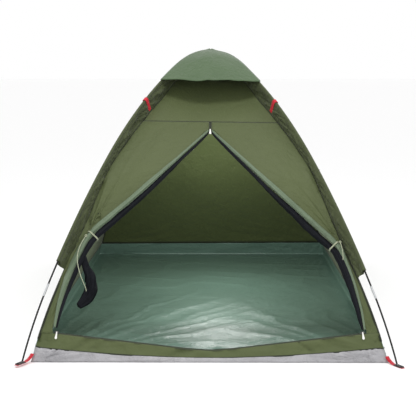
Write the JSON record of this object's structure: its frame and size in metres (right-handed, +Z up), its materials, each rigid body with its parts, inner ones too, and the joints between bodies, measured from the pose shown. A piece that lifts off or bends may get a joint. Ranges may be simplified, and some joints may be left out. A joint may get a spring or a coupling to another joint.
{
  "type": "dome tent",
  "caption": "Small dome tent on crossed flexible poles in cloth sleeves, with a rain cap, a tub groundsheet and a rolled-back zipped door.",
  "frame": {"origin": "centre of the tent's footprint, on the ground", "axes": "+Z up, the door faces -Y, +Y along the tent's length to the back, +X to the right as seen from the door"},
  "size_m": [1.298, 2.1498, 1.0592],
  "materials": {
    "groundsheet": "coated woven polyethylene, satin",
    "body_fabric": "woven polyester, satin",
    "net": "knitted net, matt",
    "cap_fabric": "woven polyester, satin",
    "sleeve_fabric": "woven polyester, satin",
    "fibreglass": "smooth tube",
    "ferrule_steel": "drawn steel",
    "shock_cord": "braided elastic",
    "red_webbing": "woven webbing, matt",
    "black_plastic": "moulded",
    "tie_tape": "braided cord, matt",
    "zip_tape": "knitted tape with nylon coil",
    "slider_metal": "cast and painted",
    "puller_plastic": "moulded"
  },
  "bodies": {
    "tent": {"groundsheet": "groundsheet", "front_top_panel": "body_fabric", "front_left_panel": "body_fabric", "front_right_panel": "body_fabric", "door_threshold": "body_fabric", "left_wall": "body_fabric", "right_wall": "body_fabric", "rear_wall": "body_fabric", "roof_mesh": "net", "rain_cap": "cap_fabric", "sleeve_front_left": "sleeve_fabric", "sleeve_front_right": "sleeve_fabric", "sleeve_rear_right": "sleeve_fabric", "sleeve_rear_left": "sleeve_fabric", "pole_a_section_1": "fibreglass", "pole_a_section_2": "fibreglass", "pole_a_section_3": "fibreglass", "pole_a_section_4": "fibreglass", "pole_a_section_5": "fibreglass", "pole_a_section_6": "fibreglass", "pole_a_section_7": "fibreglass", "pole_b_section_1": "fibreglass", "pole_b_section_2": "fibreglass", "pole_b_section_3": "fibreglass", "pole_b_section_4": "fibreglass", "pole_b_section_5": "fibreglass", "pole_b_section_6": "fibreglass", "pole_b_section_7": "fibreglass", "pole_a_ferrules": "ferrule_steel", "pole_b_ferrules": "ferrule_steel", "pole_a_shock_cord": "shock_cord", "pole_b_shock_cord": "shock_cord", "corner_webbing": "red_webbing", "corner_plates": "black_plastic", "corner_pins": "ferrule_steel", "guy_loops": "red_webbing", "door_roll_left": "body_fabric", "door_roll_right": "body_fabric", "net_roll_left": "net", "net_roll_right": "net", "tie_band_left": "tie_tape", "tie_band_right": "tie_tape", "tie_cord_left": "tie_tape", "tie_cord_right": "tie_tape", "door_zip_chain": "zip_tape", "foot_zip_chain": "zip_tape"},
    "top_slider": {"top_zip_slider": "slider_metal"},
    "top_pull": {"top_zip_pull": "puller_plastic"},
    "left_slider": {"left_zip_slider": "slider_metal"},
    "left_pull": {"left_zip_pull": "puller_plastic"},
    "right_slider": {"right_zip_slider": "slider_metal"},
    "right_pull": {"right_zip_pull": "puller_plastic"}
  },
  "joints": [
    {"name": "top_zip_slide", "type": "slide", "parent": "tent", "child": "top_slider", "axis": [0, 0.7402, 0.6724], "range_m": [0, 0.028]},
    {"name": "top_pull_hinge", "type": "hinge", "parent": "top_slider", "child": "top_pull", "pos_m": [0, -0.47401, 0.75293], "axis": [-1, 0, 0], "range_deg": [0, 110]},
    {"name": "left_zip_slide", "type": "slide", "parent": "tent", "child": "left_slider", "axis": [0.9932, -0.0474, -0.1059], "range_m": [0, 0.42]},
    {"name": "left_pull_hinge", "type": "hinge", "parent": "left_slider", "child": "left_pull", "pos_m": [-0.51807, -0.96262, 0.0945], "axis": [-0.9932, 0.0474, 0.1059], "range_deg": [0, 110]},
    {"name": "right_zip_slide", "type": "slide", "parent": "tent", "child": "right_slider", "axis": [-0.9932, -0.0474, -0.1059], "range_m": [0, 0.42]},
    {"name": "right_pull_hinge", "type": "hinge", "parent": "right_slider", "child": "right_pull", "pos_m": [0.51807, -0.96262, 0.0945], "axis": [-0.9932, -0.0474, -0.1059], "range_deg": [0, 110]}
  ]
}
